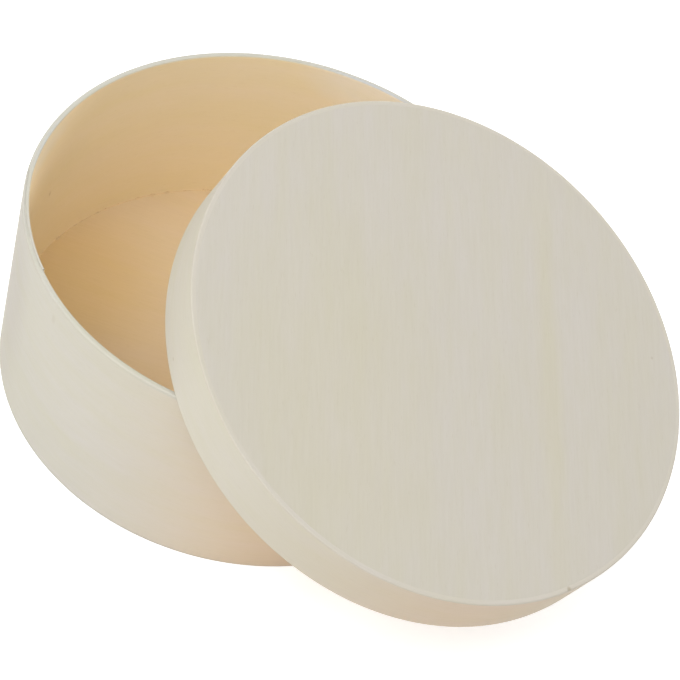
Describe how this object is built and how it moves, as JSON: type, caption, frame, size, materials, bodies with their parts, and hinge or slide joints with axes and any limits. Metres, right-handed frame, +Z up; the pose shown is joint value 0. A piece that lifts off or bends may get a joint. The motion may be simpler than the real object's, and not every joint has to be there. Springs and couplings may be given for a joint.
{
  "type": "round chipwood box",
  "caption": "Round bentwood box with a flat set-in floor and a shallow loose lid, which lies askew on the rim and lifts straight off.",
  "frame": {"origin": "centre of the box's underside, on the table", "axes": "+Z up along the box's axis, +X the way the resting lid is shifted and tipped"},
  "size_m": [0.1682, 0.123, 0.0776],
  "materials": {
    "box_strip": "raw pale wood, fine sanded, grain round the wall",
    "floor_disc": "raw pale wood, fine sanded, straight grain",
    "lid_strip": "raw pale wood, fine sanded, grain round the band",
    "lid_disc": "raw pale wood, fine sanded, straight grain with short pores",
    "glue": "dried clear wood glue"
  },
  "bodies": {
    "box": {"box_wall": "box_strip", "wall_lap_glue": "glue", "box_floor": "floor_disc", "floor_glue": "glue"},
    "lid": {"lid_band": "lid_strip", "lid_lap_glue": "glue", "lid_top": "lid_disc", "lid_glue": "glue"}
  },
  "joints": [
    {"name": "lid_lift", "type": "slide", "parent": "box", "child": "lid", "axis": [0, 0, 1], "range_m": [0, 0.06]}
  ]
}
